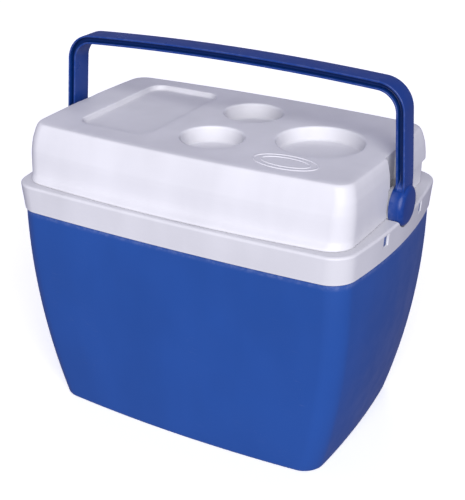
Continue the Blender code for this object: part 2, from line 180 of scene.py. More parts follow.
# ---------------------------------------------------------------- outlines
def blend(low, high, share):
    return tuple(p + (q - p) * share for p, q in zip(low, high))


def smooth(value):
    value = min(max(value, 0.0), 1.0)
    return value * value * (3 - 2 * value)


def quarter(steps, first=0):
    """Sine and cosine at even steps through a quarter turn."""
    angles = [math.radians(90 * k / steps) for k in range(first, steps + 1)]
    return [(math.sin(angle), math.cos(angle)) for angle in angles]


def oval(x, y, a, b, z):
    angles = [math.tau * k / ROUND_STEPS for k in range(ROUND_STEPS)]
    return [(x + a * math.cos(angle), y + b * math.sin(angle), z) for angle in angles]


def outline(half, corner, inset=0.0, marks=()):
    """Rounded rectangle with bowed sides, counter-clockwise. marks fix places along the two ends."""
    a, bow_a, b, bow_b = half
    a -= inset
    b -= inset
    r = max(corner - 0.7 * inset, 4.0)
    reach = b - r
    if marks:
        edge = marks[-1]
        outer = [edge + (reach - edge) * k / END_STEPS for k in range(1, END_STEPS)]
        right = list(marks) + outer
        ends = [-y for y in reversed(right)] + [y for y in right if y > 0]
    else:
        ends = [reach * (2 * k / PLAIN_END_STEPS - 1) for k in range(1, PLAIN_END_STEPS)]
    span = a - r
    faces = [span * (2 * k / FACE_STEPS - 1) for k in range(1, FACE_STEPS)]
    points = []

    def arc(cx, cy, start):
        for k in range(CORNER_STEPS + 1):
            angle = math.radians(start + 90 * k / CORNER_STEPS)
            points.append((cx + r * math.cos(angle), cy + r * math.sin(angle)))

    arc(span, -reach, -90)
    points += [(a, y) for y in ends]
    arc(span, reach, 0)
    points += [(-x, b) for x in faces]
    arc(-span, reach, 90)
    points += [(-a, -y) for y in ends]
    arc(-span, -reach, 180)
    points += [(x, -b) for x in faces]
    bowed = []
    for x, y in points:
        grow_x = 1 + bow_a / a * max(0.0, 1 - (y / b) ** 2)
        grow_y = 1 + bow_b / b * max(0.0, 1 - (x / a) ** 2)
        bowed.append((x * grow_x, y * grow_y))
    return bowed


def ring(half, corner, z, inset=0.0, marks=()):
    return [(x, y, z) for x, y in outline(half, corner, inset, marks)]


def dent(points, middle, half, soft, floor):
    """Push both ends in to a floor near the middle; soft is half the width of the slope at its sides."""
    made = []
    for x, y, z in points:
        share = smooth((half + soft - abs(abs(y) - middle)) / (2 * soft))
        deep = max(0.0, abs(x) - floor) * share
        made.append((x - math.copysign(deep, x), y, z))
    return made


def rounded(profile, reach, steps):
    """The profile with every inner corner eased, as rows of the same kind."""
    rows = [profile[0]]
    for before, here, after in zip(profile, profile[1:], profile[2:]):
        first = math.dist(before, here)
        second = math.dist(here, after)
        cut = min(reach, 0.42 * first, 0.42 * second)
        start = blend(here, before, cut / first)
        finish = blend(here, after, cut / second)
        for k in range(steps + 1):
            t = k / steps
            rows.append(blend(blend(start, here, t), blend(here, finish, t), t))
    rows.append(profile[-1])
    return rows


# ---------------------------------------------------------------- mesh building
def inside(point, polygon):
    x, y = point
    found = False
    for (x0, y0), (x1, y1) in zip(polygon, polygon[1:] + polygon[:1]):
        if (y0 > y) != (y1 > y) and x < x0 + (y - y0) * (x1 - x0) / (y1 - y0):
            found = not found
    return found


class Shape:
    """Gathers rings and sheets in millimetres and turns them into one object."""

    def __init__(self):
        self.points = []
        self.faces = []

    def loop(self, points):
        start = len(self.points)
        self.points += [tuple(p) for p in points]
        return list(range(start, len(self.points)))

    def skin(self, loops, closed=False):
        pairs = list(zip(loops, loops[1:]))
        if closed:
            pairs.append((loops[-1], loops[0]))
        for low, high in pairs:
            count = len(low)
            for i in range(count):
                j = (i + 1) % count
                self.faces.append((low[i], low[j], high[j], high[i]))

    def loft(self, rings, closed=False):
        loops = [self.loop(points) for points in rings]
        self.skin(loops, closed)
        return loops

    def sheet(self, outer, holes=(), pitch=9.0):
        """Flat fill between an outer loop and the loops of its holes."""
        z = self.points[outer[0]][2]
        ids = []
        edges = []
        for loop in [outer, *holes]:
            start = len(ids)
            ids += loop
            edges += [(start + i, start + (i + 1) % len(loop)) for i in range(len(loop))]
        flat = [self.points[i][:2] for i in ids]
        border = [self.points[i][:2] for i in outer]
        gaps = [[self.points[i][:2] for i in loop] for loop in holes]
        lows = [min(p[k] for p in border) for k in (0, 1)]
        highs = [max(p[k] for p in border) for k in (0, 1)]
        rows = int((highs[1] - lows[1]) / (pitch * 0.87))
        columns = int((highs[0] - lows[0]) / pitch)
        for row in range(1, rows):
            for column in range(1, columns):
                spot = (lows[0] + (column + 0.5 * (row % 2)) * pitch, lows[1] + row * pitch * 0.87)
                near = min((p[0] - spot[0]) ** 2 + (p[1] - spot[1]) ** 2 for p in flat[:len(ids)])
                if near < (0.5 * pitch) ** 2 or not inside(spot, border):
                    continue
                if any(inside(spot, gap) for gap in gaps):
                    continue
                self.points.append((*spot, z))
                flat.append(spot)
        extra = len(flat) - len(ids)
        ids = ids + list(range(len(self.points) - extra, len(self.points)))
        result = delaunay_2d_cdt([Vector(p) for p in flat], edges, [], 0, 1e-6, True)
        coords, triangles, sources = result[0], result[2], result[3]
        for tri in triangles:
            middle = tuple(sum(coords[i][k] for i in tri) / 3 for k in (0, 1))
            if inside(middle, border) and not any(inside(middle, gap) for gap in gaps):
                self.faces.append(tuple(ids[sources[i][0]] for i in tri))

    def lathe(self, profile, z):
        """Turn (radius, x) rows about an axis along X; rows of zero radius close it."""
        loops = []
        for radius, x in profile:
            if radius == 0:
                loops.append(self.loop([(x, 0.0, z)]) * ROUND_STEPS)
                continue
            loops.append(self.loop([(x, radius * math.cos(math.tau * k / ROUND_STEPS),
                                     z + radius * math.sin(math.tau * k / ROUND_STEPS))
                                    for k in range(ROUND_STEPS)]))
        for low, high in zip(loops, loops[1:]):
            for i in range(ROUND_STEPS):
                j = (i + 1) % ROUND_STEPS
                face = []
                for p in (low[i], low[j], high[j], high[i]):
                    if p not in face:
                        face.append(p)
                self.faces.append(tuple(face))

    def mesh(self):
        bm = bmesh.new()
        verts = [bm.verts.new(Vector(p) * MM) for p in self.points]
        for face in self.faces:
            bm.faces.new([verts[i] for i in face])
        return bm

    def build(self, name, material):
        return finish_mesh(name, self.mesh(), material)


def finish_mesh(name, bm, material):
    bmesh.ops.remove_doubles(bm, verts=bm.verts, dist=0.00002)
    bmesh.ops.dissolve_degenerate(bm, dist=0.00001, edges=bm.edges)
    bmesh.ops.recalc_face_normals(bm, faces=bm.faces)
    loose = [v for v in bm.verts if not v.link_faces]
    bmesh.ops.delete(bm, geom=loose, context="VERTS")
    mesh = bpy.data.meshes.new(name)
    bm.to_mesh(mesh)
    bm.free()
    obj = bpy.data.objects.new(name, mesh)
    bpy.context.scene.collection.objects.link(obj)
    mesh.materials.append(material)
    polish(obj)
    return obj


def polish(obj, sharp=38.0):
    """Smooth shading with crisp corners, and the edge attribute that wear and dirt follow."""
    mesh = obj.data
    for polygon in mesh.polygons:
        polygon.use_smooth = True
    mesh.set_sharp_from_angle(angle=math.radians(sharp))
    bm = bmesh.new()
    bm.from_mesh(mesh)
    bm.verts.ensure_lookup_table()
    bend = [0.0] * len(bm.verts)
    for edge in bm.edges:
        if len(edge.link_faces) != 2:
            continue
        turn = edge.calc_face_angle_signed(0.0)
        for vert in edge.verts:
            if abs(turn) > abs(bend[vert.index]):
                bend[vert.index] = turn
    bm.free()
    if "edge" in mesh.attributes:
        mesh.attributes.remove(mesh.attributes["edge"])
    layer = mesh.attributes.new("edge", "FLOAT", "POINT")
    layer.data.foreach_set("value", [max(-1.0, min(1.0, b / 0.6)) for b in bend])


# ---------------------------------------------------------------- materials
class Nodes:
    """Short hand for building one material's nodes."""

    def __init__(self, name):
        self.mat = bpy.data.materials.new(name)
        self.mat.use_nodes = True
        self.tree = self.mat.node_tree
        self.shader = self.tree.nodes["Principled BSDF"]
        self.place = self.tree.nodes.new("ShaderNodeTexCoord").outputs["Object"]

    def put(self, socket, value):
        if hasattr(value, "links"):
            self.tree.links.new(value, socket)
        else:
            socket.default_value = value

    def mapped(self, scale, turn=(0, 0, 0)):
        node = self.tree.nodes.new("ShaderNodeMapping")
        self.put(node.inputs["Vector"], self.place)
        node.inputs["Scale"].default_value = scale
        node.inputs["Rotation"].default_value = turn
        return node.outputs["Vector"]

    def noise(self, scale, detail=2.0, rough=0.5, vector=None):
        node = self.tree.nodes.new("ShaderNodeTexNoise")
        self.put(node.inputs["Vector"], vector or self.place)
        node.inputs["Scale"].default_value = scale
        node.inputs["Detail"].default_value = detail
        node.inputs["Roughness"].default_value = rough
        return node.outputs["Fac"]

    def cells(self, scale, feature="F1"):
        node = self.tree.nodes.new("ShaderNodeTexVoronoi")
        node.feature = feature
        self.put(node.inputs["Vector"], self.place)
        node.inputs["Scale"].default_value = scale
        return node.outputs["Distance"]

    def span(self, value, low, high, to_low=0.0, to_high=1.0):
        node = self.tree.nodes.new("ShaderNodeMapRange")
        node.interpolation_type = "SMOOTHSTEP"
        for key, item in (("Value", value), ("From Min", low), ("From Max", high),
                          ("To Min", to_low), ("To Max", to_high)):
            self.put(node.inputs[key], item)
        return node.outputs["Result"]

    def math(self, operation, first, second):
        node = self.tree.nodes.new("ShaderNodeMath")
        node.operation = operation
        self.put(node.inputs[0], first)
        self.put(node.inputs[1], second)
        return node.outputs["Value"]

    def mix(self, share, first, second):
        node = self.tree.nodes.new("ShaderNodeMix")
        node.data_type = "RGBA"
        self.put(node.inputs[0], share)
        for index, value in ((6, first), (7, second)):
            if isinstance(value, tuple):
                value = (*value[:3], 1.0)
            self.put(node.inputs[index], value)
        return node.outputs[2]

    def attribute(self, name):
        node = self.tree.nodes.new("ShaderNodeAttribute")
        node.attribute_name = name
        return node.outputs["Fac"]

    def bump(self, height, distance, strength, normal=None):
        node = self.tree.nodes.new("ShaderNodeBump")
        self.put(node.inputs["Height"], height)
        node.inputs["Distance"].default_value = distance
        node.inputs["Strength"].default_value = strength
        if normal is not None:
            self.put(node.inputs["Normal"], normal)
        return node.outputs["Normal"]

    def set(self, key, value):
        self.put(self.shader.inputs[key], value)


def shade(colour, factor):
    return tuple(min(c * factor, 1.0) for c in colour)


def plastic(name, colour, roughness, scuffs, wear, grain=0.00002, painted_groove_shade=False):
    """Moulded polypropylene with the marks of use on it, at true scale, and painted shade in the grooves
    where asked; noise scales are per metre.
    """
    n = Nodes(name)
    # Clouds about 140 mm across and flow lines of 40 mm.
    cloud = n.noise(7.0, 3.0)
    flow = n.noise(26.0, 2.0, vector=n.mapped((1.0, 1.0, 0.22)))
    tone = n.math("ADD", n.math("MULTIPLY", cloud, 0.65), n.math("MULTIPLY", flow, 0.35))
    base = n.mix(n.span(tone, 0.32, 0.68), shade(colour, 0.945), shade(colour, 1.05))
    # Hair-fine scuffs in patches, and specks of dirt 1 mm across.
    patches = n.span(n.noise(11.0, 3.0, 0.6), 0.54, 0.72)
    first = n.noise(38.0, 1.0, 0.3, n.mapped((1.0, 30.0, 30.0), (0.3, 0.5, 0.9)))
    second = n.noise(30.0, 1.0, 0.3, n.mapped((26.0, 1.2, 26.0), (0.9, 0.3, -0.5)))
    lines = n.math("MAXIMUM", n.span(first, 0.69, 0.76), n.span(second, 0.70, 0.77))
    marks = n.math("MULTIPLY", n.math("MULTIPLY", lines, patches), scuffs)
    specks = n.math("MULTIPLY", n.span(n.cells(240.0), 0.10, 0.04), n.span(n.noise(60.0), 0.55, 0.65))
    # Edges rubbed pale and inner corners that hold grime.
    edge = n.attribute("edge")
    ragged = n.noise(170.0, 3.0, 0.65)
    worn = n.math("MULTIPLY", n.span(edge, 0.15, 0.75), n.span(ragged, 0.40, 0.66, 0.25, 1.0))
    worn = n.math("MULTIPLY", worn, wear)
    grime = n.math("MULTIPLY", n.span(edge, -0.12, -0.8), n.span(ragged, 0.3, 0.7, 0.35, 1.0))
    scuffed = blend(colour, (0.7, 0.7, 0.72), 0.35)
    rubbed = shade(blend(colour, (0.8, 0.82, 0.88), 0.22), 1.1)
    base = n.mix(n.math("MULTIPLY", marks, 0.16), base, scuffed)
    base = n.mix(n.math("MULTIPLY", worn, 0.55), base, rubbed)
    base = n.mix(n.math("MULTIPLY", grime, 0.30), base, shade(colour, 0.55))
    base = n.mix(n.math("MULTIPLY", specks, 0.25), base, shade(colour, 0.5))
    # Painted shade: the grooves are darkened towards 30 per cent of the colour, standing in for the
    # shade inside them.
    if painted_groove_shade:
        base = n.mix(n.math("MULTIPLY", n.attribute("groove"), 0.6), base, shade(colour, 0.3))
    n.set("Base Color", base)
    gloss = n.span(n.noise(34.0, 3.0), 0.3, 0.7, roughness - 0.045, roughness + 0.045)
    gloss = n.math("ADD", gloss, n.math("MULTIPLY", marks, 0.16))
    gloss = n.math("ADD", gloss, n.math("MULTIPLY", worn, 0.12))
    n.set("Roughness", n.math("ADD", gloss, n.math("MULTIPLY", grime, 0.15)))
    # Mould grain under 1 mm, orange peel of 5 mm, sink marks of 60 mm, then the scuffs.
    fine = n.bump(n.noise(1500.0, 2.0, 0.6), grain, 0.7)
    peel = n.bump(n.noise(210.0, 2.0), 0.00005, 0.45, fine)
    sink = n.bump(n.noise(16.0, 1.0), 0.0009, 0.35, peel)
    n.set("Normal", n.bump(n.math("SUBTRACT", 1.0, marks), 0.00006, 0.6, sink))
    n.shader.inputs["Specular IOR Level"].default_value = 0.30
    n.shader.inputs["IOR"].default_value = 1.49
    return n.mat


def foam(name):
    """Expanded polystyrene, beaded."""
    n = Nodes(name)
    bead = n.cells(290.0)
    seam = n.cells(290.0, "DISTANCE_TO_EDGE")
    cloud = n.noise(20.0, 3.0)
    base = n.mix(n.span(cloud, 0.3, 0.7), (0.80, 0.80, 0.77), (0.90, 0.90, 0.88))
    n.set("Base Color", n.mix(n.span(seam, 0.08, 0.0), base, (0.60, 0.60, 0.58)))
    n.set("Roughness", n.span(bead, 0.0, 0.6, 0.75, 0.95))
    pits = n.span(n.cells(90.0), 0.12, 0.04)
    first = n.bump(n.span(seam, 0.0, 0.14), 0.0004, 0.8)
    n.set("Normal", n.bump(n.math("SUBTRACT", 1.0, pits), 0.0006, 0.7, first))
    return n.mat


SHELL_BLUE = (0.0165, 0.067, 0.280)
HANDLE_BLUE = (0.004, 0.034, 0.20)
WHITE = (0.635, 0.63, 0.66)
INNER_WHITE = (0.68, 0.68, 0.71)

blue = plastic("shell_plastic", SHELL_BLUE, 0.36, scuffs=0.7, wear=0.5)
# The handle's material carries painted shade in the grooves of its bar.
handle_blue = plastic("handle_plastic", HANDLE_BLUE, 0.31, scuffs=0.5, wear=0.45, painted_groove_shade=True)
rim_white = plastic("collar_plastic", shade(WHITE, 0.93), 0.38, scuffs=0.5, wear=0.5)
tub_white = plastic("tub_plastic", INNER_WHITE, 0.34, scuffs=0.4, wear=0.3)
lid_white = plastic("lid_plastic", WHITE, 0.42, scuffs=0.5, wear=0.5, grain=0.00003)
plug_white = plastic("plug_plastic", INNER_WHITE, 0.36, scuffs=0.3, wear=0.3)
nylon = plastic("clip_nylon", (0.60, 0.60, 0.63), 0.45, scuffs=0.3, wear=0.3)
foam_white = foam("bead_foam")


# ---------------------------------------------------------------- body shell
def body_half(z):
    share = max(0.0, (BODY_RIM_Z - z) / BODY_RIM_Z)
    length = share * (1 - END_BARREL) + END_BARREL * share ** 2
    depth = share * (1 - FACE_BARREL) + FACE_BARREL * share ** 2
    first = blend(RIM_HALF, BASE_HALF, length)
    second = blend(RIM_HALF, BASE_HALF, depth)
    return (first[0], first[1], second[2], second[3])


def soft_block(shape_bm, low, high, bevel, lean=0.0):
    """Rounded block; lean pulls the lower edge of its outer face in."""
    made = bmesh.ops.create_cube(shape_bm, size=1.0)["verts"]
    for vert in made:
        for k in range(3):
            vert.co[k] = (low[k] if vert.co[k] < 0 else high[k]) * MM
        outer = high[0] if abs(high[0]) > abs(low[0]) else low[0]
        if lean and abs(vert.co.x / MM - outer) < 0.01 and abs(vert.co.z / MM - low[2]) < 0.01:
            vert.co.x -= math.copysign(lean * MM, outer)
    edges = list({e for v in made for e in v.link_edges})
    bmesh.ops.bevel(shape_bm, geom=edges, offset=bevel * MM, segments=3, profile=0.5, affect="EDGES")


def lip_ring(z, inset):
    """Ring of the rim or lip, with the dips at both ends of the lip's top."""
    points = ring(RIM_HALF, BODY_CORNER, z, inset)
    if z <= LIP_TOP_Z - 1.0:
        return points
    return [(x, y, height - LIP_DIP * (abs(y) < LIP_DIP_HALF and abs(x) > OPENING[0]))
            for x, y, height in points]


def build_shell():
    s = Shape()
    rings = [ring(body_half(0), BODY_CORNER, z, inset) for z, inset in BASE_ROWS]
    for sine, cosine in quarter(6):
        z = FOOT_ROUND - FOOT_ROUND * cosine
        rings.append(ring(body_half(z), BODY_CORNER, z, FOOT_ROUND - FOOT_ROUND * sine))
    for k in range(1, 35):
        z = FOOT_ROUND + (BODY_RIM_Z - RIM_EDGE - FOOT_ROUND) * k / 34
        rings.append(ring(body_half(z), BODY_CORNER, z))
    inner = LIP_STEP + LIP_WALL
    rings += [lip_ring(z, inset) for z, inset in (
        (BODY_RIM_Z, RIM_EDGE), (BODY_RIM_Z, LIP_STEP), (LIP_TOP_Z - 0.5, LIP_STEP),
        (LIP_TOP_Z, LIP_STEP + 0.5), (LIP_TOP_Z, inner), (BODY_RIM_Z - 4, inner),
        (BODY_RIM_Z - 8, BODY_WALL))]
    for k in range(16):
        z = BODY_RIM_Z - 16 - (BODY_RIM_Z - 24) * k / 15
        rings.append(ring(body_half(z), BODY_CORNER, z, BODY_WALL))
    rings.append(ring(body_half(6), BODY_CORNER, BASE_RECESS + BODY_WALL, 8.0))
    loops = s.loft(rings)
    s.sheet(loops[0], pitch=14.0)
    s.sheet(loops[-1], pitch=14.0)
    bm = s.mesh()
    reach_x, reach_y = RIB_FIELD
    for k in range(RIB_COUNT):
        x = -reach_x + 2 * reach_x * k / (RIB_COUNT - 1)
        soft_block(bm, (x - RIB_HALF, -reach_y, RIB_FOOT_Z), (x + RIB_HALF, reach_y, RIB_TOP_Z), 0.6)
    for side in (-1, 1):
        y = side * reach_y
        end = reach_x + RIB_HALF
        soft_block(bm, (-end, y - RIB_HALF, RIB_FOOT_Z), (end, y + RIB_HALF, RIB_TOP_Z), 0.6)
        for y in (-WINDOW_Y, WINDOW_Y):
            low, high = sorted(side * x for x in TONGUE_X)
            wide, tall = TONGUE_HALF
            soft_block(bm, (low, y - wide, WINDOW_Z - tall), (high, y + wide, WINDOW_Z + tall),
                       0.5, TONGUE_LEAN)
    return finish_mesh("shell_body", bm, blue)


# ---------------------------------------------------------------- collar
def pocket_half(z):
    return math.sqrt(max(0.0, POCKET_RADIUS ** 2 - (PIVOT_Z - z) ** 2))


def pocket_soft(half):
    return min(WALL_SOFT, 0.12 * half)


def collar_marks(z):
    """Places along an end where the pocket's and the window's walls need points."""
    half = max(pocket_half(min(z, COLLAR_TOP_Z)), 1.2)
    soft = pocket_soft(half)
    near = [half * k for k in (0.0, 0.25, 0.5, 0.7, 0.85)]
    near += [half - soft, half - 0.4 * soft, half, half + 0.4 * soft, half + soft, half + soft + 1.2]
    start, stop = near[-1], WINDOW_Y - WINDOW_HALF[0] - 1.2
    near += [start + (stop - start) * k / 6 for k in range(1, 7)]
    for sign in (-1, 1):
        middle = WINDOW_Y + sign * WINDOW_HALF[0]
        near += [middle + d for d in (-0.3, -0.12, 0.12, 0.3)]
        near += [WINDOW_Y - 2.0, WINDOW_Y + 2.0] if sign < 0 else []
    near.append(WINDOW_Y + WINDOW_HALF[0] + 1.4)
    return near


def collar_ring(z, inset, pocket=True, window=0.0, floor=None, half=None):
    """One ring of the collar, dented at both ends by the pivot pocket and down to window, if given."""
    share = min(max((z - COLLAR_FOOT_Z) / (COLLAR_TOP_Z - COLLAR_ROUND - COLLAR_FOOT_Z), 0.0), 1.0)
    points = ring(blend(COLLAR_FOOT, COLLAR_HEAD, share), COLLAR_CORNER, z, inset, collar_marks(z))
    if pocket:
        wide = pocket_half(z) if half is None else half
        if wide > 0.5:
            points = dent(points, 0.0, wide, pocket_soft(wide), EAR_X[1] if floor is None else floor)
    if window:
        points = dent(points, WINDOW_Y, WINDOW_HALF[0], 0.3, window)
    return points


def build_collar():
    top = COLLAR_TOP_Z
    heights = {COLLAR_FOOT_Z + 0.6, 270.0, 276.0, 280.5, top - COLLAR_ROUND}
    for z in (WINDOW_Z - WINDOW_HALF[1], WINDOW_Z + WINDOW_HALF[1]):
        heights |= {z - 0.3, z - 0.1, z + 0.1, z + 0.3}
    first = math.acos((PIVOT_Z - top + COLLAR_ROUND) / POCKET_RADIUS)
    for k in range(15):
        heights.add(PIVOT_Z - POCKET_RADIUS * math.cos(first * k / 14) + (0.0 if k else -0.02))
    rows = [(COLLAR_FOOT_Z, 0.6)] + [(z, 0.0) for z in sorted(heights)]
    for sine, cosine in quarter(6, 1):
        rows.append((top - COLLAR_ROUND + COLLAR_ROUND * sine, COLLAR_ROUND - COLLAR_ROUND * cosine))
    rings = []
    for z, inset in rows:
        inner = abs(z - WINDOW_Z) - WINDOW_HALF[1]
        share = smooth((0.3 - inner) / 0.6)
        window = 0.0
        if share > 0:
            window = WINDOW_MOUTH_X - (WINDOW_MOUTH_X - WINDOW_FLOOR_X) * share
        rings.append(collar_ring(z, inset, window=window))
    rings.append(collar_ring(top, COLLAR_SHELF, pocket=False))
    for z, inset in ((top, 0.3), (top - 0.3, 0.0), (top - COLLAR_WALL + 0.4, 0.0),
                     (top - COLLAR_WALL, 0.5)):
        rings.append(ring(OPENING, OPENING_CORNER, z, inset, collar_marks(top)))
    under = top - COLLAR_WALL
    for z, boss in ((under, True), (BOSS_FOOT_Z + 0.2, True), (BOSS_FOOT_Z - 0.2, False),
                    (COLLAR_FOOT_Z, False)):
        rings.append(collar_ring(z, COLLAR_WALL, pocket=boss, floor=EAR_X[0], half=BOSS_HALF))
    s = Shape()
    s.loft(rings, closed=True)
    foot = PIVOT_Z - (top - 0.15)
    for side in (-1, 1):
        def arch(x, trim, hole):
            """Outline of the ear or of its bore at one x."""
            points = []
            for k in range(ROUND_STEPS):
                angle = math.tau * k / ROUND_STEPS
                c, d = math.cos(angle), math.sin(angle)
                if hole:
                    reach = STUB_BORE + trim
                elif d >= 0:
                    reach = EAR_HALF - trim
                else:
                    reach = min((EAR_HALF - trim) / max(abs(c), 1e-6), foot / -d)
                points.append((side * x, reach * c, PIVOT_Z + reach * d))
            return points

        low, high = EAR_X
        s.loft([arch(low + 0.4, 0.0, True), arch(low, 0.4, True), arch(low, 0.8, False),
                arch(low + 0.25, 0.25, False), arch(low + 0.8, 0.0, False),
                arch(high - 0.8, 0.0, False), arch(high - 0.25, 0.25, False),
                arch(high, 0.8, False), arch(high, 0.4, True), arch(high - 0.4, 0.0, True)],
               closed=True)
    return s.build("collar_band", rim_white)


# ---------------------------------------------------------------- inner tub
def tub_half(z):
    return blend(TUB_FLOOR, TUB_RIM, (z - TUB_FLOOR_Z) / (TUB_FLANGE_Z[1] - TUB_FLOOR_Z))


def build_tub():
    low, high = TUB_FLANGE_Z
    s = Shape()
    rings = []

    def bowl(skin, floor_z, radius):
        """Rows from the floor up round its fillet."""
        rows = []
        for sine, cosine in quarter(8):
            z = floor_z + radius * (1 - cosine)
            rows.append(ring(tub_half(z), TUB_CORNER, z, radius * (1 - sine) - skin))
        return rows

    rings += bowl(TUB_WALL, TUB_FLOOR_Z - TUB_WALL, TUB_ROUND[1])
    for k in range(1, 8):
        z = TUB_WALL_Z[1] + (low - TUB_WALL_Z[1]) * k / 7
        rings.append(ring(tub_half(z), TUB_CORNER, z, -TUB_WALL))
    rings.append(ring(TUB_FLANGE, BODY_CORNER, low))
    rings.append(ring(TUB_FLANGE, BODY_CORNER, high - 0.4))
    rings.append(ring(TUB_FLANGE, BODY_CORNER, high, 0.4))
    for inset, drop in ((-1.6, 0.0), (-0.7, 0.2), (-0.1, 0.9), (0.0, 1.8)):
        rings.append(ring(tub_half(high - drop), TUB_CORNER, high - drop, inset))
    for k in range(1, 12):
        z = high - 2.0 - (high - 2.0 - TUB_WALL_Z[0]) * k / 11
        rings.append(ring(tub_half(z), TUB_CORNER, z))
    rings += reversed(bowl(0.0, TUB_FLOOR_Z, TUB_ROUND[0]))
    loops = s.loft(rings)
    s.sheet(loops[0], pitch=16.0)
    s.sheet(loops[-1], pitch=16.0)
    return s.build("tub_liner", tub_white)


# ---------------------------------------------------------------- handle
def handle_path():
    """Centre line of the bar from the right hub over the crown to the left hub."""
    right = [ARM_FOOT, (ARM_KNEE[0] + 0.5, 324.0), (ARM_KNEE[0] + 0.35, 330.0),
             (ARM_KNEE[0] + 0.2, 336.0), ARM_KNEE]
    knee, corner = Vector(ARM_KNEE), Vector(BAR_CORNER)
    crown_drop = (BAR_CROWN_Z - BAR_CORNER[1]) / BAR_CORNER[0] ** 2
    up = (corner - knee).normalized()
    along = Vector((-1.0, 2 * crown_drop * BAR_CORNER[0])).normalized()
    turn = up.angle(along)
    reach = BAR_CORNER_RADIUS * math.tan(turn / 2)
    start = corner - up * reach
    centre = start + Vector((-up.y, up.x)) * BAR_CORNER_RADIUS
    right += [tuple(knee + (start - knee) * share) for share in (0.12, 0.3, 0.5, 0.7, 0.88)]
    first = start - centre
    for k in range(21):
        angle = turn * k / 20
        x = first.x * math.cos(angle) - first.y * math.sin(angle)
        y = first.x * math.sin(angle) + first.y * math.cos(angle)
        right.append((centre.x + x, centre.y + y))
    last, base = right[-1]
    for k in range(1, 21):
        x = last * (1 - k / 20)
        right.append((x, base + (BAR_CROWN_Z - base) * (1 - (x / last) ** 2)))
    return right + [(-x, z) for x, z in reversed(right[:-1])]


def bar_section(web_half):
    """Rounded I section: across, then outwards."""
    half_t = BAR_THICK / 2
    web = half_t - BAR_FLANGE
    one = [(BAR_HALF, half_t, 1.5), (BAR_HALF, web, 0.9), (web_half, web, 1.2),
           (web_half, -web, 1.2), (BAR_HALF, -web, 0.9), (BAR_HALF, -half_t, 1.5)]
    corners = one + [(-y, n, r) for y, n, r in reversed(one)]
    points = []
    for index, (y, n, radius) in enumerate(corners):
        here = Vector((y, n))
        before = Vector(corners[index - 1][:2]) - here
        after = Vector(corners[(index + 1) % len(corners)][:2]) - here
        trim = min(radius, 0.45 * before.length, 0.45 * after.length)
        start = here + before.normalized() * trim
        finish = here + after.normalized() * trim
        for k in range(5):
            t = k / 4
            spot = start.lerp(here, t).lerp(here.lerp(finish, t), t)
            points.append((spot.x, spot.y))
    return points


def build_handle():
    path = handle_path()
    s = Shape()
    loops = []
    for index, (x, z) in enumerate(path):
        before = path[max(index - 1, 0)]
        after = path[min(index + 1, len(path) - 1)]
        tangent = Vector((after[0] - before[0], after[1] - before[1])).normalized()
        out = Vector((tangent.y, -tangent.x))
        fill = smooth((GROOVE_END_Z[1] - z) / (GROOVE_END_Z[1] - GROOVE_END_Z[0]))
        web_half = BAR_WEB_HALF + (BAR_HALF - 0.25 - BAR_WEB_HALF) * fill
        loops.append(s.loop([(x + out.x * n, y, z + out.y * n) for y, n in bar_section(web_half)]))
    s.skin(loops)
    s.faces.append(tuple(loops[0]))
    s.faces.append(tuple(loops[-1]))
    bail = s.build("bail_handle", handle_blue)
    inner, outer = PAD_X
    for side in (-1, 1):
        # Turned profile of the stub pin with its neck, then the hub with a domed edge: radius, x.
        rows = [(0.0, STUB_END_X), (STUB_RADIUS - 0.8, STUB_END_X), (STUB_RADIUS, STUB_END_X + 0.8),
                (STUB_RADIUS, NECK_X[0]), (NECK_RADIUS, NECK_X[0]), (NECK_RADIUS, NECK_X[1]),
                (STUB_RADIUS, NECK_X[1]), (STUB_RADIUS, inner), (PAD_RADIUS - 1.0, inner),
                (PAD_RADIUS - 0.3, inner + 0.3), (PAD_RADIUS, inner + 1.0)]
        for sine, cosine in quarter(8):
            rows.append((PAD_RADIUS - HUB_DOME * (1 - cosine), outer - 0.7 - HUB_DOME * (1 - sine)))
        rows += [(12.0, outer - 0.25), (6.0, outer - 0.05), (0.0, outer)]
        hub = Shape()
        hub.lathe([(radius, side * x) for radius, x in rows], PIVOT_Z)
        tool = hub.build("hub", handle_blue)
        mod = bail.modifiers.new("join", "BOOLEAN")
        mod.operation = "UNION"
        mod.solver = "EXACT"
        mod.object = tool
        graph = bpy.context.evaluated_depsgraph_get()
        fresh = bpy.data.meshes.new_from_object(bail.evaluated_get(graph))
        bail.modifiers.clear()
        bail.data = fresh
        bpy.data.objects.remove(tool, do_unlink=True)
    polish(bail, 40.0)
    # Mask of the points inside the bar's grooves, above their foot, which the handle's material darkens
    # as painted shade.
    bottom = (BAR_HALF - 2.0) * MM
    foot = GROOVE_SHADE_Z * MM
    groove = [float(abs(v.co.y) < bottom and v.co.z > foot) for v in bail.data.vertices]
    bail.data.attributes.new("groove", "FLOAT", "POINT").data.foreach_set("value", groove)
    return bail


def build_clip(name, side):
    """Split spring ring that holds the stub pin."""
    s = Shape()
    low, high = CLIP_X
    inner, outer = CLIP_RADII
    steps = 60
    gap = math.radians(38)
    loops = []
    for k in range(steps + 1):
        angle = -math.pi / 2 + gap / 2 + (math.tau - gap) * k / steps
        rows = ((inner, low + 0.3), (inner + 0.3, low), (outer - 0.4, low), (outer, low + 0.4),
                (outer, high - 0.4), (outer - 0.4, high), (inner + 0.3, high), (inner, high - 0.3))
        loops.append(s.loop([(side * x, r * math.cos(angle), PIVOT_Z + r * math.sin(angle))
                             for r, x in rows]))
    s.skin(loops)
    s.faces.append(tuple(loops[0]))
    s.faces.append(tuple(loops[-1]))
    return s.build(name, nylon)


# ---------------------------------------------------------------- lid
def lid_marks():
    marks = [0.0, 5.0, 10.0]
    for middle in (RECESS_HALF, PIVOT_RECESS_HALF):
        marks += [middle + d for d in (-1.5, -0.4, -0.15, 0.15, 0.4)]
    return marks + [PIVOT_RECESS_HALF + 1.6, PIVOT_RECESS_HALF + 3.2]


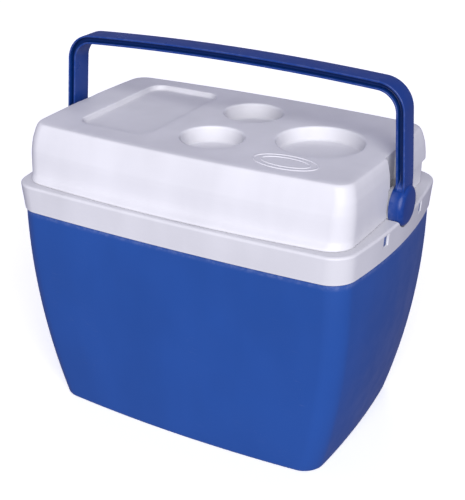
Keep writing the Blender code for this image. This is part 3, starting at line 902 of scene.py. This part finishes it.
def lid_outline(half, z, inset, grow):
    """One ring of the lid, with the groove along its rear and the rooms for the arms and the pivots."""
    marks = lid_marks()
    first = outline(half[:4], half[4], inset, marks)
    second = first
    if z < GROOVE_TOP_Z:
        second = outline(GROOVE_HALF[:4], GROOVE_HALF[4], inset, marks)
    points = [(*(p if p[1] < -1e-6 else q), z) for p, q in zip(first, second)]
    if z < PIVOT_RECESS_TOP_Z + grow:
        return dent(points, 0.0, PIVOT_RECESS_HALF + grow, 0.4, PIVOT_RECESS_FLOOR_X - grow)
    return dent(points, 0.0, RECESS_HALF + grow, 0.4, RECESS_FLOOR_X - grow)


def at_height(profile, z):
    for low, high in zip(profile, profile[1:]):
        if low[0] <= z <= high[0]:
            return blend(low, high, (z - low[0]) / (high[0] - low[0]))[1:]
    return profile[-1][1:] if z > profile[-1][0] else profile[0][1:]


def dish_rows(top, depth, draft, lip, foot, grow):
    """Offsets and heights from the flat top down a filleted wall to the floor."""
    rows = []
    for sine, cosine in quarter(6):
        rows.append((grow + lip * (1 - sine), top - lip * (1 - cosine)))
    for sine, cosine in quarter(6):
        rows.append((grow - draft - foot * (1 - cosine), top - depth + foot * (1 - sine)))
    return rows


def tray_loop(offset, z):
    x0, x1, y0, y1 = TRAY_SPAN
    half = ((x1 - x0) / 2 + offset, 0.0, (y1 - y0) / 2 + offset, 0.0)
    flat = outline(half, TRAY_CORNER + offset)
    return [(x + (x0 + x1) / 2, y + (y0 + y1) / 2, z) for x, y in flat]


def top_sheet(s, border, top, grow, lip):
    """The flat top with its wells and tray; grow thickens the cups for the inner skin."""
    holes = []
    for x, y, radius, depth in HOLDERS:
        rows = dish_rows(top, depth, 1.2, lip, 3.2 + grow, grow)
        loops = [s.loop(oval(x, y, radius + offset, radius + offset, z)) for offset, z in rows]
        s.skin(loops)
        s.sheet(loops[-1])
        holes.append(loops[0])
    rows = dish_rows(top, TRAY_DEPTH, 1.0, min(lip, 2.0), 2.2 + grow, grow)
    loops = [s.loop(tray_loop(offset, z)) for offset, z in rows]
    s.skin(loops)
    s.sheet(loops[-1], pitch=12.0)
    holes.append(loops[0])
    s.sheet(border, holes, pitch=8.0)


def badge(s):
    """Two plain raised oval rings moulded into the top; they carry no mark."""
    x, y, a, b = BADGE
    section = ((-1.0, -0.3), (-1.0, 0.4), (-0.6, 0.7), (0.6, 0.7), (1.0, 0.4), (1.0, -0.3))
    for shrink in (0.0, 9.0):
        rings = []
        for offset, rise in section:
            reach = offset - shrink
            rings.append(oval(x, y, a + reach, b + 0.8 * reach, LID_TOP_Z + rise))
        s.loft(rings, closed=True)


def build_lid():
    s = Shape()
    profile = rounded(LID_PROFILE, 2.2, 4)
    heights = [row[0] for row in profile]
    for z in (GROOVE_TOP_Z, PIVOT_RECESS_TOP_Z):
        heights = [h for h in heights if abs(h - z) > 0.4]
        heights += [z - 0.3, z - 0.05, z + 0.05, z + 0.3]
    heights = sorted(set(heights))
    outer = [s.loop(lid_outline(at_height(profile, z), z, 0.0, 0.0)) for z in heights]
    s.skin(outer)
    top_sheet(s, outer[-1], LID_TOP_Z, 0.0, 2.6)
    ceiling = LID_TOP_Z - LID_WALL
    inner_rows = [(LID_PROFILE[0][0], LID_WALL - 0.5), (LID_PROFILE[2][0], LID_WALL)]
    inner_rows += [(z, LID_WALL) for z in (*LID_INNER_Z, ceiling - 1.5)]
    inner_rows.append((ceiling, LID_WALL + 1.6))
    inner = [s.loop(lid_outline(at_height(profile, z), z, inset, LID_WALL)) for z, inset in inner_rows]
    s.skin(inner)
    s.skin([outer[0], inner[0]])
    top_sheet(s, inner[-1], ceiling, LID_WALL, 0.5)
    badge(s)
    return s.build("lid_cover", lid_white)


def build_plug():
    s = Shape()
    marks = lid_marks()
    low, high = PLUG_FLANGE_Z
    floor = PLUG_FLOOR_Z + PLUG_WALL
    rows = [(PLUG_FLOOR, PLUG_FLOOR_Z + PLUG_ROUND * (1 - cosine), PLUG_ROUND * (1 - sine))
            for sine, cosine in quarter(6)]
    for k in range(1, 5):
        share = k / 5
        rows.append((blend(PLUG_FLOOR, PLUG_RIM, share),
                     PLUG_FLOOR_Z + (PLUG_RIM_Z - PLUG_FLOOR_Z) * share, 0.0))
    rows += [(PLUG_RIM, low - 1.0, -0.05), (PLUG_RIM, low - 0.3, -0.4), (PLUG_RIM, low, -1.2)]
    rings = [ring(half, OPENING_CORNER, z, inset, marks) for half, z, inset in rows]
    rings += [lid_outline(LID_PROFILE[1][1:], z, LID_WALL + 1.6, LID_WALL + 0.4) for z in (low, high)]
    rings += [ring(half, OPENING_CORNER, z, inset, marks) for half, z, inset in (
        (PLUG_RIM, high, PLUG_WALL), (PLUG_FLOOR, floor + 0.5, PLUG_WALL),
        (PLUG_FLOOR, floor, PLUG_WALL + 0.5))]
    loops = s.loft(rings)
    s.sheet(loops[0], pitch=16.0)
    s.sheet(loops[-1], pitch=16.0)
    return s.build("plug_pan", plug_white)


# ---------------------------------------------------------------- assembly
PIECES = (
    (build_shell, "body", "outer_shell", "shell_blue"),
    (build_collar, "body", "collar", "rim_white"),
    (build_tub, "body", "inner_tub", "tub_white"),
    (build_handle, "bail", "handle", "handle_blue"),
    (build_lid, "lid", "lid_top", "lid_white"),
    (build_plug, "lid", "lid_plug", "plug_white"),
)
for maker, body, node, slot in PIECES:
    piece = maker()
    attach(piece, body)
    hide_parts(node)
for name, node, side in (("clip_left", "pivot_clip_left", -1), ("clip_right", "pivot_clip_right", 1)):
    piece = build_clip(name, side)
    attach(piece, "bail")
    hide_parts(node)
for node in ("body_insulation", "lid_insulation"):
    frame["nodes"][node].material_slots[0].material = foam_white


# ---------------------------------------------------------------- stage, light, camera
def build_floor():
    mesh = bpy.data.meshes.new("floor")
    size = 9.0
    mesh.from_pydata([(-size, -size, 0), (size, -size, 0), (size, size, 0), (-size, size, 0)], [],
                     [(0, 1, 2, 3)])
    obj = bpy.data.objects.new("floor", mesh)
    bpy.context.scene.collection.objects.link(obj)
    n = Nodes("floor_paper")
    tone = n.span(n.noise(3.0, 2.0), 0.3, 0.7)
    n.set("Base Color", n.mix(tone, (0.90, 0.90, 0.90), (0.92, 0.92, 0.92)))
    n.set("Roughness", 0.9)
    n.shader.inputs["Emission Color"].default_value = (1.0, 1.0, 1.0, 1.0)
    n.shader.inputs["Emission Strength"].default_value = 0.36
    mesh.materials.append(n.mat)
    obj.visible_diffuse = False
    obj.visible_glossy = False


def sun(name, azimuth, elevation, strength, spread, mirrored=True):
    """Large soft lamp; azimuth 0 stands in front of the chest and 90 at its right end."""
    data = bpy.data.lights.new(name, "SUN")
    data.energy = strength
    data.angle = math.radians(spread)
    obj = bpy.data.objects.new(name, data)
    bpy.context.scene.collection.objects.link(obj)
    obj.visible_glossy = mirrored
    a, e = math.radians(azimuth), math.radians(elevation)
    back = Vector((math.sin(a) * math.cos(e), -math.cos(a) * math.cos(e), math.sin(e)))
    obj.location = back * 3.0
    obj.rotation_mode = "QUATERNION"
    obj.rotation_quaternion = (-back).to_track_quat("-Z", "Y")


build_floor()
world = bpy.data.worlds.new("studio")
bpy.context.scene.world = world
world.use_nodes = True
back = world.node_tree.nodes["Background"]
back.inputs["Color"].default_value = (0.92, 0.90, 1.50, 1.0)
back.inputs["Strength"].default_value = 0.20
sun("key", 31.0, 24.0, 4.35, 58.0)
sun("rear", 215.0, 12.0, 1.3, 40.0, mirrored=False)


# The photo's camera, from the front and right: degrees, metres, and the lens in millimetres.
CAMERA_AZIMUTH = 28.452
CAMERA_ELEVATION = 25.591
CAMERA_ROLL = 0.625
CAMERA_TARGET = (0.00634, 0.0, 0.2038)
CAMERA_DISTANCE = 1.3193
CAMERA_LENS = 75.86


def build_camera():
    data = bpy.data.cameras.new("camera")
    cam = bpy.data.objects.new("camera", data)
    bpy.context.scene.collection.objects.link(cam)
    azimuth, elevation = math.radians(CAMERA_AZIMUTH), math.radians(CAMERA_ELEVATION)
    roll = math.radians(CAMERA_ROLL)
    forward = Vector((-math.sin(azimuth) * math.cos(elevation),
                      math.cos(azimuth) * math.cos(elevation), -math.sin(elevation)))
    right = Vector((math.cos(azimuth), math.sin(azimuth), 0.0))
    up = right.cross(forward)
    turned_right = right * math.cos(roll) + up * math.sin(roll)
    turned_up = -right * math.sin(roll) + up * math.cos(roll)
    placed = Matrix((turned_right, turned_up, -forward)).transposed().to_4x4()
    placed.translation = Vector(CAMERA_TARGET) - forward * CAMERA_DISTANCE
    cam.matrix_world = placed
    data.lens = CAMERA_LENS
    data.sensor_width = 36.0
    data.clip_start, data.clip_end = 0.05, 60.0
    bpy.context.scene.camera = cam


build_camera()
bpy.context.scene.view_settings.view_transform = "Standard"
